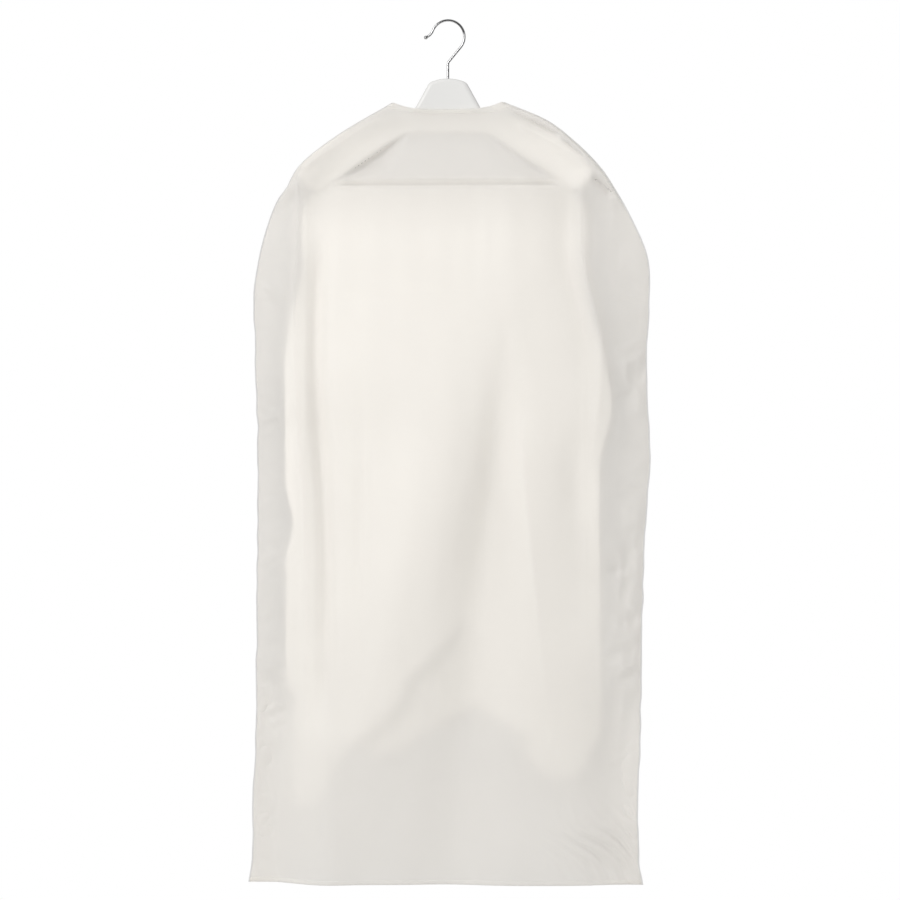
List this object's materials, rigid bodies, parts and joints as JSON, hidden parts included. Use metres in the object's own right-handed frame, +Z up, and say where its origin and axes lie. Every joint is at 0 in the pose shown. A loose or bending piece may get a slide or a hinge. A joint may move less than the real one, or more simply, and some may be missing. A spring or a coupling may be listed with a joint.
{
  "type": "garment bag",
  "caption": "Translucent film garment cover with domed shoulders, neck slot and open bottom, hung on a white contour hanger with swivel wire hook and trouser bar.",
  "frame": {"origin": "highest point inside the hook, where it sits on a rail", "axes": "+Z up, +X along the hanger to the viewer's right, +Y towards the cover's back; the arm ends curl towards -Y"},
  "size_m": [0.5346, 0.1153, 1.1622],
  "materials": {
    "steel_wire": "bright chrome-plated wire",
    "zinc_steel": "zinc-plated, satin",
    "white_lacquer": "white lacquer on wood, satin",
    "white_cloth": "plain white woven cotton",
    "cover_film": "milky translucent soft film with fold creases",
    "cover_seam": "doubled and welded film, satin"
  },
  "bodies": {
    "hook": {"hook": "steel_wire", "hook_nut": "zinc_steel"},
    "hanger": {"hanger_body": "white_lacquer", "swivel_washer": "zinc_steel", "trouser_bar": "white_lacquer", "bar_pins": "zinc_steel", "hanging_sheet": "white_cloth"},
    "cover": {"cover_front_panel": "cover_film", "cover_back_panel": "cover_film", "left_edge_seam": "cover_seam", "right_edge_seam": "cover_seam", "neck_hem_front": "cover_seam", "neck_hem_back": "cover_seam", "bottom_hem_front": "cover_seam", "bottom_hem_back": "cover_seam"}
  },
  "joints": [
    {"name": "hook_swivel", "type": "hinge", "parent": "hook", "child": "hanger", "pos_m": [0, 0, -0.1], "axis": [0, 0, 1], "continuous": true},
    {"name": "cover_lift", "type": "slide", "parent": "hanger", "child": "cover", "axis": [0, 0, 1], "range_m": [0, 1.2]}
  ]
}
